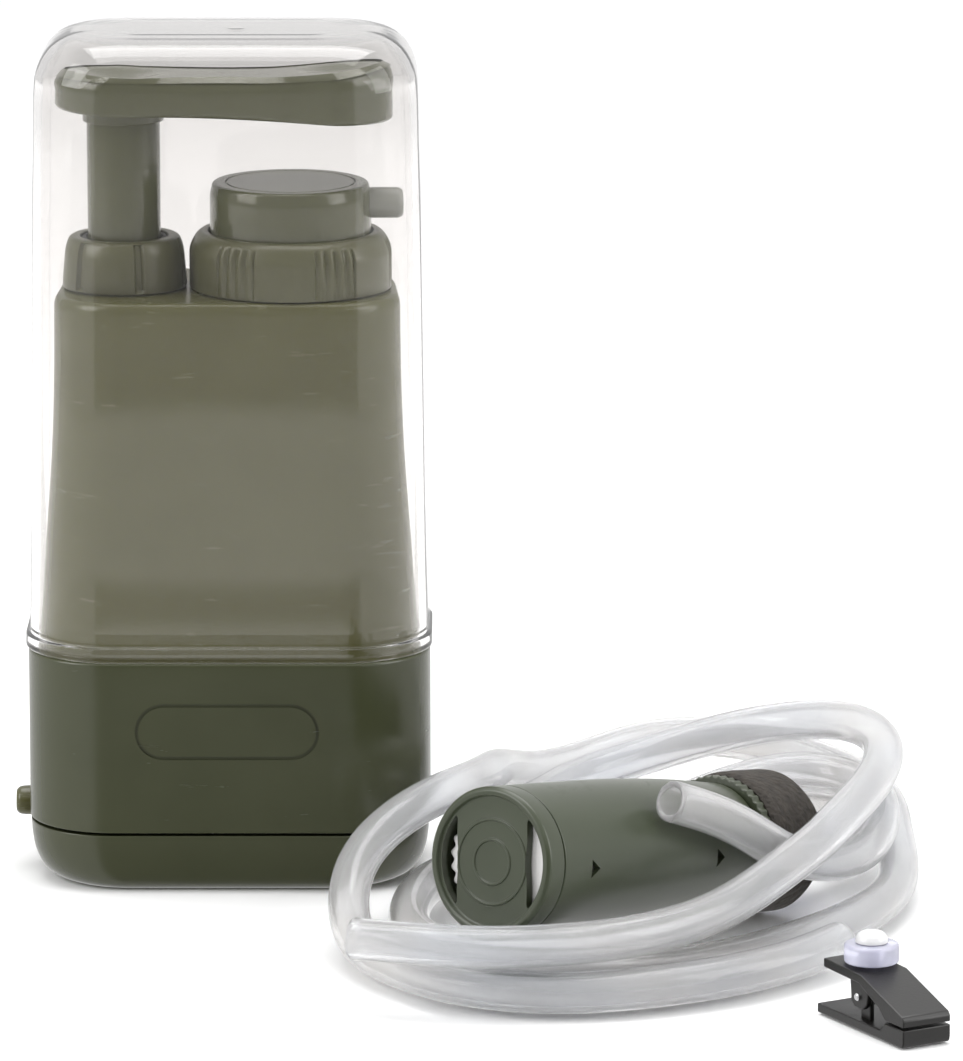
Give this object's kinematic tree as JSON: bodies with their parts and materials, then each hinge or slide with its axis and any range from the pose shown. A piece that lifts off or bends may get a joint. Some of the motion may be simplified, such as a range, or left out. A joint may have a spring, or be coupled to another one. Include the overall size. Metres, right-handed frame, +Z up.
{
  "type": "pump water filter",
  "caption": "Hand pump water filter for camping with a clear cover, coiled silicone hoses, a floating intake strainer and a hose clip.",
  "frame": {"origin": "centre of the foot of the pump's base, on the floor", "axes": "+Z up along the pump's height, +X towards the outlet spout, the pump's front faces -Y"},
  "size_m": [0.1799, 0.168, 0.1697],
  "materials": {
    "body_shell": "satin olive green moulding",
    "base_cover": "satin olive green moulding",
    "base_gasket": "matt",
    "inlet_elbow": "satin olive green moulding",
    "pump_cylinder": "white",
    "stem_wiper": "matt",
    "filter_canister": "white",
    "cartridge_cap_lower": "black",
    "membrane_cartridge": "white",
    "carbon_core": "pressed granules",
    "cartridge_cap_upper": "black",
    "lid_seal": "matt",
    "strainer_shell": "satin olive green moulding",
    "strainer_mesh": "white",
    "strainer_flange": "satin olive green moulding",
    "strainer_float": "closed-cell foam",
    "strainer_nipple": "clear, faint lavender",
    "clip_lever_lower": "black",
    "clip_pin": "plated",
    "clip_spring": "plated",
    "intake_hose": "milky translucent silicone",
    "outlet_hose": "milky translucent silicone",
    "pump_stem": "satin olive green moulding",
    "handle": "satin olive green moulding",
    "piston": "white",
    "piston_seal": "matt",
    "clear_cover": "clear polycarbonate",
    "pump_collar": "satin olive green moulding",
    "filter_ring": "satin olive green moulding",
    "outlet_cap": "satin olive green moulding",
    "outlet_spout": "pale grey silicone",
    "intake_valve": "matt",
    "outlet_valve": "matt",
    "strainer_cap": "satin olive green moulding",
    "clip_lever_upper": "black",
    "clip_rivet": "white",
    "clip_tube_ring": "clear, faint lavender"
  },
  "bodies": {
    "housing": {"body_shell": "body_shell", "base_cover": "base_cover", "base_gasket": "base_gasket", "inlet_elbow": "inlet_elbow", "pump_cylinder": "pump_cylinder", "stem_wiper": "stem_wiper", "filter_canister": "filter_canister", "cartridge_cap_lower": "cartridge_cap_lower", "membrane_cartridge": "membrane_cartridge", "carbon_core": "carbon_core", "cartridge_cap_upper": "cartridge_cap_upper", "lid_seal": "lid_seal", "strainer_shell": "strainer_shell", "strainer_mesh": "strainer_mesh", "strainer_flange": "strainer_flange", "strainer_float": "strainer_float", "strainer_nipple": "strainer_nipple", "clip_lever_lower": "clip_lever_lower", "clip_pin": "clip_pin", "clip_spring": "clip_spring", "intake_hose": "intake_hose", "outlet_hose": "outlet_hose"},
    "plunger": {"pump_stem": "pump_stem", "handle": "handle", "piston": "piston", "piston_seal": "piston_seal"},
    "cover": {"clear_cover": "clear_cover"},
    "gland": {"pump_collar": "pump_collar"},
    "screw_ring": {"filter_ring": "filter_ring"},
    "outlet": {"outlet_cap": "outlet_cap", "outlet_spout": "outlet_spout"},
    "valve_in": {"intake_valve": "intake_valve"},
    "valve_out": {"outlet_valve": "outlet_valve"},
    "strainer_front": {"strainer_cap": "strainer_cap"},
    "clip_jaw": {"clip_lever_upper": "clip_lever_upper", "clip_rivet": "clip_rivet"},
    "clip_ring": {"clip_tube_ring": "clip_tube_ring"}
  },
  "joints": [
    {"name": "pump_stroke", "type": "slide", "parent": "housing", "child": "plunger", "axis": [0, 0, 1], "range_m": [0, 0.04]},
    {"name": "cover_lift", "type": "slide", "parent": "plunger", "child": "cover", "axis": [0, 0, 1], "range_m": [0, 0.13]},
    {"name": "collar_turn", "type": "hinge", "parent": "housing", "child": "gland", "pos_m": [-0.0206, 0, 0.118], "axis": [0, 0, 1], "range_deg": [0, 270]},
    {"name": "filter_ring_turn", "type": "hinge", "parent": "housing", "child": "screw_ring", "pos_m": [0.0126, 0, 0.118], "axis": [0, 0, 1], "range_deg": [0, 270]},
    {"name": "outlet_swivel", "type": "hinge", "parent": "housing", "child": "outlet", "pos_m": [0.0126, 0, 0.13], "axis": [0, 0, 1], "range_deg": [-50, 50]},
    {"name": "intake_valve_lift", "type": "slide", "parent": "housing", "child": "valve_in", "axis": [0, 0, 1], "range_m": [0, 0.0015]},
    {"name": "outlet_valve_lift", "type": "slide", "parent": "housing", "child": "valve_out", "axis": [0, 0, 1], "range_m": [0, 0.0015]},
    {"name": "strainer_cap_turn", "type": "hinge", "parent": "housing", "child": "strainer_front", "pos_m": [0.0516, -0.105, 0.0274], "axis": [0.6138, 0.7749, -0.1509], "range_deg": [0, 60]},
    {"name": "clip_jaw_open", "type": "hinge", "parent": "housing", "child": "clip_jaw", "pos_m": [0.1245, -0.1215, 0.0066], "axis": [-0.866, -0.5, 0], "range_deg": [0, 28], "stiffness_Nm_per_rad": 0.05, "springref_deg": -45.84},
    {"name": "clip_ring_swivel", "type": "hinge", "parent": "clip_jaw", "child": "clip_ring", "pos_m": [0.12277, -0.1173, 0.0115], "axis": [0, 0, 1], "continuous": true}
  ]
}
